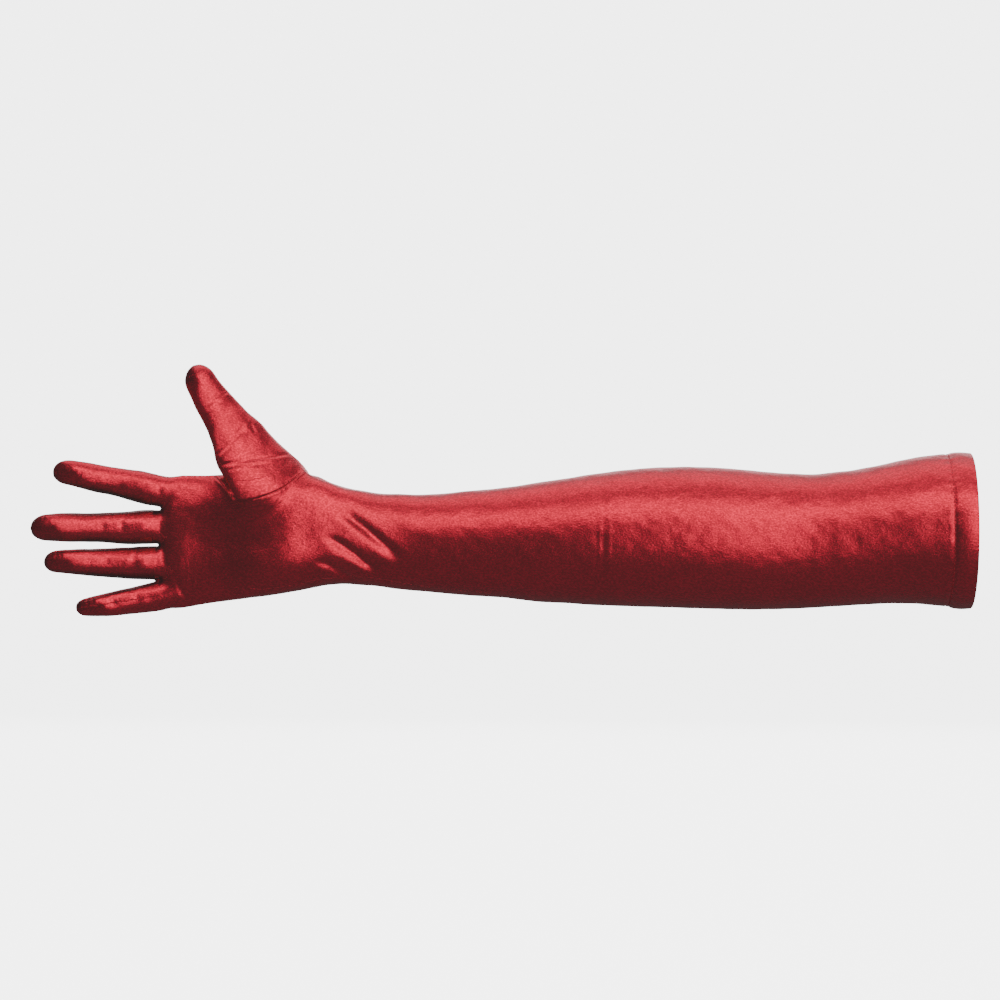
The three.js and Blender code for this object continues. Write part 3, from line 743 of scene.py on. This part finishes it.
groove = hill(seams, off, 0.0, 0.42)
lip = hill(seams, off, 1.1, 0.9)
far_lip = hill(seams, off, -1.1, 0.9)
pucker = calculate(seams, "SINE", calculate(seams, "MULTIPLY", run, 2.1))
pucker = calculate(seams, "MULTIPLY", pucker, hill(seams, off, 0.0, 2.4))
both_lips = calculate(seams, "MULTIPLY", calculate(seams, "ADD", lip, far_lip), 0.22)
raised = calculate(seams, "MULTIPLY_ADD", groove, -0.45, both_lips)
raised = calculate(seams, "MULTIPLY_ADD", pucker, 0.06, raised)
seams.links.new(raised, seams_out.inputs["Height"])
seams.links.new(groove, seams_out.inputs["Line"])


def cloth_material(name, light, deep, metallic, roughness, weave_strength):
    made = bpy.data.materials.new(name)
    made.use_nodes = True
    tree = made.node_tree
    shader = tree.nodes["Principled BSDF"]
    cloth_weave = add_node(tree, "ShaderNodeGroup", node_tree=weave)
    sewn = add_node(tree, "ShaderNodeGroup", node_tree=seams)
    tone = calculate(tree, "MULTIPLY_ADD", cloth_weave.outputs["Grain"], 3.2, -0.70)
    tone = calculate(tree, "ADD", tone, -0.25)
    tone = calculate(tree, "MULTIPLY_ADD", cloth_weave.outputs["Patches"], 0.5, tone)
    tone = calculate(tree, "MULTIPLY_ADD", sewn.outputs["Line"], -0.55, tone)
    tone = add_node(tree, "ShaderNodeClamp", {"Value": tone}).outputs[0]
    colour = add_node(tree, "ShaderNodeMix", {"Factor": tone}, data_type="RGBA")
    colour.inputs[6].default_value, colour.inputs[7].default_value = deep, light
    hidden = add_node(tree, "ShaderNodeAttribute", attribute_name="between").outputs["Fac"]
    in_shadow = calculate(tree, "MULTIPLY", hidden, 0.85)
    darker = add_node(tree, "ShaderNodeMix", {"Factor": in_shadow}, data_type="RGBA")
    tree.links.new(colour.outputs[2], darker.inputs[6])
    darker.inputs[7].default_value = (0.05, 0.004, 0.006, 1)
    tree.links.new(darker.outputs[2], shader.inputs["Base Color"])
    dull = calculate(tree, "MULTIPLY_ADD", cloth_weave.outputs["Grain"], -0.10, roughness + 0.05)
    tree.links.new(dull, shader.inputs["Roughness"])
    shader.inputs["Metallic"].default_value = metallic
    # A faint glow lifts the darkest folds, in place of light thrown back by a room.
    shader.inputs["Emission Color"].default_value = (0.9, 1.0, 1.0, 1)
    shader.inputs["Emission Strength"].default_value = 0.015
    total = calculate(tree, "ADD", cloth_weave.outputs["Height"], sewn.outputs["Height"])
    dent = add_node(tree, "ShaderNodeBump", {"Strength": weave_strength, "Distance": 0.001, "Height": total})
    tree.links.new(dent.outputs["Normal"], shader.inputs["Normal"])
    return made


satin = cloth_material("satin", (0.90, 0.007, 0.050, 1), (0.46, 0.008, 0.024, 1), 0.88, 0.28, 0.9)
satin_inside = cloth_material(
    "satin_inside", (0.62, 0.024, 0.045, 1), (0.36, 0.012, 0.024, 1), 0.20, 0.58, 0.8
)

# ---------------------------------------------------------------- the pieces of cloth
# Sleeve, palm, back, finger and thumb pieces are all cut from the one skin, so neighbours meet exactly. Each
# piece that joins two parts of the arm bends between them; the palm and the back of the hand ride the hand.
face_list = np.array([f if len(f) == 4 else f + (f[-1],) for f in skin_faces])
centre = rest[face_list].mean(axis=1)
face_normal = shape_normals[face_list].mean(axis=1)
votes = finger_of[face_list]
face_finger = np.where((votes == votes[:, :1]).all(axis=1), votes[:, 0], -1)
in_thumb = (thumb_off[face_list].mean(axis=1) < 0) & (centre[:, 0] < -380)
face_s = thumb_s[face_list].mean(axis=1)
mid_y = np.where(centre[:, 0] > wrist_x, 0, (wrist_x - centre[:, 0]) / palm_length * knuckle_lean)
is_front = centre[:, 1] < mid_y
upper_lower_x, wrist_end_x = -240.0, -396.0
labels = np.full(len(face_list), "", dtype=object)
facing = np.where(is_front, "front", "back")
past_elbow = np.where(centre[:, 0] > wrist_end_x, "forearm_", "hand_")
stretch = np.where(centre[:, 0] > upper_lower_x, "sleeve_", past_elbow)
labels[:] = np.char.add(stretch, facing)
for k, name in enumerate(finger_aims):
    share = finger_share[face_list].mean(axis=1)
    mine = (face_finger == k) & (centre[:, 0] < wrist_end_x)
    outer_part = np.where(share < 0.555, f"{name}_middle", f"{name}_end")
    labels[mine] = np.where(share < 0.235, f"{name}_root", outer_part)[mine]
for name, z0, z1 in [("index_middle", 9, 18), ("middle_ring", -13, -5), ("ring_little", -34, -26)]:
    web = (face_finger < 0) & (centre[:, 0] < fork_x + 1.5) & (centre[:, 2] > z0) & (centre[:, 2] < z1)
    web &= np.abs(face_normal[:, 1]) < 0.80
    labels[web] = f"fork_{name}"
labels[in_thumb] = np.where(face_s < 17, "thumb_lower", "thumb_upper")[in_thumb]
labels[centre[:, 0] > 0] = "beyond"


def cut_piece(name, label, inside_depth=0.0):
    """The faces with a label as an object, with a reversed inner layer where the inside can be seen."""
    chosen = face_list[labels == label]
    used, index = np.unique(chosen, return_inverse=True)
    index = index.reshape(chosen.shape)
    points = shape[used]
    normals = (thumb_sheen if label.startswith("thumb") else sheen)[used]
    fields = {"rest": rest, "seam_off": seam_off, "seam_run": seam_run, "between": between}
    marks = {key: value[used] for key, value in fields.items()}
    faces = index.tolist()
    if inside_depth:
        points = np.concatenate([points, points - shape_normals[used] * inside_depth])
        faces += (index[:, ::-1] + len(used)).tolist()
        normals = np.concatenate([normals, -normals])
        marks = {key: np.concatenate([value, value]) for key, value in marks.items()}
    faces = [tuple(dict.fromkeys(f)) for f in faces]
    obj = add_mesh(name, points * MM, faces)
    mesh = obj.data
    at_rest = mesh.attributes.new("rest", "FLOAT_VECTOR", "POINT")
    at_rest.data.foreach_set("vector", marks["rest"].astype(np.float32).ravel())
    for key in ("seam_off", "seam_run", "between"):
        mark = mesh.attributes.new(key, "FLOAT", "POINT")
        mark.data.foreach_set("value", marks[key].astype(np.float32))
    mesh.normals_split_custom_set_from_vertices([tuple(v) for v in normals])
    mesh.materials.append(satin)
    if inside_depth:
        mesh.materials.append(satin_inside)
        mesh.polygons.foreach_set("material_index", [0] * len(chosen) + [1] * len(chosen))
    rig.slot(obj, "satin")
    return obj


for facing in ("front", "back"):
    sleeve = cut_piece(f"sleeve_{facing}_cloth", f"sleeve_{facing}", 0.45)
    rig.blend(sleeve, "upper_sleeve", "forearm", (-0.060, 0, 0), (-0.150, 0, 0))
    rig.replaces(sleeve, f"upper_sleeve_{facing}", *(["elbow_crook_cloth"] if facing == "front" else []))
    lower = cut_piece(f"forearm_{facing}_cloth", f"forearm_{facing}", 0.45)
    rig.blend(lower, "forearm", "hand", (-0.341, 0, 0), (-0.391, 0, 0))
    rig.replaces(lower, f"forearm_{facing}", f"wrist_{'palm' if facing == 'front' else 'back'}_cloth")
    palm = cut_piece("palm_cloth" if facing == "front" else "back_of_hand_cloth", f"hand_{facing}")
    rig.ride(palm, "hand")
    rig.replaces(palm, "palm_panel" if facing == "front" else "back_panel")

for pair in ("index_middle", "middle_ring", "ring_little"):
    strip = cut_piece(f"fourchette_{pair}_cloth", f"fork_{pair}")
    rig.ride(strip, "hand")
    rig.replaces(strip, f"fourchette_{pair}")

base = cut_piece("thumb_lower_cloth", "thumb_lower")
at = lambda s: tuple((thumb_origin + thumb_along * s) * MM)
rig.blend(base, "hand", "thumb_shaft", at(-5), at(15))
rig.replaces(base, "thumb_base", "thumb_root_cloth", "thumb_shaft")
end = cut_piece("thumb_upper_cloth", "thumb_upper")
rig.blend(end, "thumb_shaft", "thumb_tip", at(18), at(40))
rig.replaces(end, "thumb_joint_cloth", "thumb_tip")

for name, (origin, along, across, length, lean_at) in finger_aims.items():
    at = lambda s: tuple((origin + along * s) * MM)
    lower, middle, tip = f"{name}_lower", f"{name}_middle", f"{name}_tip"
    for part, a, b, s0, s1, nodes in [
        ("root", "hand", lower, 1.0, 0.22 * length, ("base", "root_crease", "lower")),
        ("middle", lower, middle, 0.25 * length, 0.53 * length, ("middle_crease", "middle")),
        ("end", middle, tip, 0.58 * length, 0.82 * length, ("tip_crease", "tip")),
    ]:
        piece = cut_piece(f"{name}_{part}_cloth", f"{name}_{part}")
        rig.blend(piece, a, b, at(s0), at(s1))
        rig.replaces(piece, *[f"{name}_{node}" for node in nodes])

# ---------------------------------------------------------------- the folded hem
# The sleeve's edge is turned in once, 13 mm deep, and held by a row of stitches.
hem_sides = 180
hem_profile = [  # x, depth under the outer face
    (-0.55, 0.12), (-0.05, 0.0), (0.35, 0.12), (0.62, 0.45), (0.66, 0.85), (0.45, 1.2), (0.05, 1.42),
    (-2, 1.5), (-5, 1.62), (-9, 1.5), (-12.3, 1.3), (-12.9, 1.15), (-12.3, 0.95), (-8, 0.95), (-3, 0.95),
    (-0.7, 0.8),
]
turns = np.linspace(0, 2 * math.pi, hem_sides, endpoint=False)
rings = []
for x, depth in hem_profile:
    ring = []
    for a in turns:
        hit, normal = surface_along((min(x, -0.45), 0, 0), (0, math.cos(a), math.sin(a)))
        ripple = 0.12 * math.sin(a * 47 + 1.7 * math.sin(a * 5)) * (depth > 1.0)
        inward = np.array([0, math.cos(a), math.sin(a)]) * (depth + ripple)
        ring.append([x, hit[1] - inward[1], hit[2] - inward[2]])
    rings.append(ring)


def plain_marks(obj, points, far=9.0):
    mesh = obj.data
    at_rest = mesh.attributes.new("rest", "FLOAT_VECTOR", "POINT")
    at_rest.data.foreach_set("vector", np.asarray(points, np.float32).ravel())
    for key in ("seam_off", "seam_run"):
        mark = mesh.attributes.new(key, "FLOAT", "POINT")
        mark.data.foreach_set("value", np.full(len(points), far, np.float32))


count = len(hem_profile)
hem_points = np.array(rings).reshape(-1, 3)
hem_faces = [
    (
        r * hem_sides + c,
        r * hem_sides + (c + 1) % hem_sides,
        ((r + 1) % count) * hem_sides + (c + 1) % hem_sides,
        ((r + 1) % count) * hem_sides + c,
    )
    for r in range(count)
    for c in range(hem_sides)
]
hem = add_mesh("hem_turned_edge", hem_points * MM, hem_faces)
plain_marks(hem, hem_points)
hem.data.materials.append(satin)
hem.data.materials.append(satin_inside)
inner_side = [0 if r < 7 or r >= 15 else 1 for r in range(count) for c in range(hem_sides)]
hem.data.polygons.foreach_set("material_index", inner_side)
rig.slot(hem, "satin_shade")
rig.ride(hem, "upper_sleeve")
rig.replaces(hem, "hem_fold")

# ---------------------------------------------------------------- stitches
# Red sewing thread: a row round the hem, and the short bars that close the forks between the fingers.
thread_paint = bpy.data.materials.new("thread")
thread_paint.use_nodes = True
tree = thread_paint.node_tree
shader = tree.nodes["Principled BSDF"]
twist = add_node(tree, "ShaderNodeTexNoise", {"Scale": 2600.0, "Detail": 2.0}).outputs["Fac"]
mixed = add_node(tree, "ShaderNodeMix", {"Factor": twist}, data_type="RGBA")
mixed.inputs[6].default_value = (0.20, 0.006, 0.012, 1)
mixed.inputs[7].default_value = (0.62, 0.035, 0.060, 1)
tree.links.new(mixed.outputs[2], shader.inputs["Base Color"])
shader.inputs["Roughness"].default_value = 0.5
shader.inputs["Metallic"].default_value = 0.25


def stitch(start, end, lift, radius, sides=7, rings=7):
    """One stitch: a short bar of thread that dips into the cloth at both ends."""
    start, end, lift = np.array(start, float), np.array(end, float), np.array(lift, float)
    along = (end - start) / np.linalg.norm(end - start)
    across = np.cross(along, lift)
    points = []
    for share in np.linspace(0, 1, rings):
        arch = 1 - (2 * share - 1) ** 4
        middle = start + (end - start) * share + lift * (arch * radius * 1.6 - radius * 0.9)
        thick = radius * (0.55 + 0.45 * arch)
        for a in np.linspace(0, 2 * math.pi, sides, endpoint=False):
            points.append(middle + across * (thick * math.cos(a)) + lift * (thick * math.sin(a)))
    faces = grid_faces(rings, sides, True)
    faces += [tuple(range(sides))[::-1], tuple((rings - 1) * sides + i for i in range(sides))]
    return points, faces


def sew(name, stitches, body, *nodes):
    points, faces = [], []
    for more_points, more_faces in stitches:
        faces += [tuple(i + len(points) for i in f) for f in more_faces]
        points += more_points
    obj = add_mesh(name, np.array(points) * MM, faces)
    obj.data.materials.append(thread_paint)
    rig.slot(obj, "thread")
    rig.ride(obj, body)
    if nodes:
        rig.replaces(obj, *nodes)
    return obj


row = []
stitch_count = 96
for i in range(stitch_count):
    a0 = (i + 0.12) / stitch_count * 2 * math.pi
    a1 = (i + 0.88) / stitch_count * 2 * math.pi
    ends = [surface_along((-13.4, 0, 0), (0, math.cos(a), math.sin(a))) for a in (a0, a1)]
    (h0, n0), (h1, n1) = ends
    row.append(stitch(h0, h1, n0, 0.24))
sew("hem_stitches", row, "upper_sleeve", "hem_stitching")

bars = []
for x, z in [(-483.5, 19.9), (-480.6, -4.2), (-475.9, -24.5)]:
    for k in (-1, 0, 1):
        ends = [surface_along((x - 0.9 * k, -60, z + d), (0, 1, 0)) for d in (-0.9, 0.9)]
        (h0, n0), (h1, n1) = ends
        bars.append(stitch(h0, h1, n0, 0.16))
sew("fork_stitches", bars, "hand")

# ---------------------------------------------------------------- the sewn edges inside
# Both edges of the side seam, overcast together and pressed flat, stand a little way into the sleeve.


def ridge(name, x0, x1):
    xs = np.arange(x0, x1, -1.5)
    points = []
    for x in xs:
        hit, normal = surface_along((x, -0.001, -5), (0, 0, -1))
        tall = 2.3 + 0.25 * math.sin(x * 2.1)
        left_side = [(-0.9, 0.45), (-0.75, tall - 0.4), (-0.3, tall)]
        right_side = [(0.3, tall), (0.75, tall - 0.4), (0.9, 0.45)]
        for y, z in left_side + right_side:
            lean = 0.6 if x > wrist_x else (wrist_x - x) / palm_length * knuckle_lean
            points.append([x, y + lean + 0.25 * math.sin(x * 1.3) * (z > 1), hit[2] + z])
    faces = grid_faces(len(xs), 6, True)
    faces += [tuple(range(6))[::-1], tuple((len(xs) - 1) * 6 + i for i in range(6))]
    obj = add_mesh(name, np.array(points) * MM, faces)
    plain_marks(obj, points)
    obj.data.materials.append(satin_inside)
    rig.slot(obj, "satin_shade")
    return obj


upper = ridge("side_seam_edges_upper", -13.8, -239.5)
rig.blend(upper, "upper_sleeve", "forearm", (-0.060, 0, 0), (-0.150, 0, 0))
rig.replaces(upper, "side_seam_upper")
lower = ridge("side_seam_edges_forearm", -240.5, -395.5)
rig.blend(lower, "forearm", "hand", (-0.341, 0, 0), (-0.391, 0, 0))
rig.replaces(lower, "side_seam_forearm")
hand_edges = ridge("side_seam_edges_hand", -396.5, -462)
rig.ride(hand_edges, "hand")
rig.replaces(hand_edges, "side_seam_hand")

low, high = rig.bounds()
with open("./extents.json", "w") as f:
    json.dump({"cad": [list(cad_low), list(cad_high)], "visual": [list(low), list(high)]}, f)
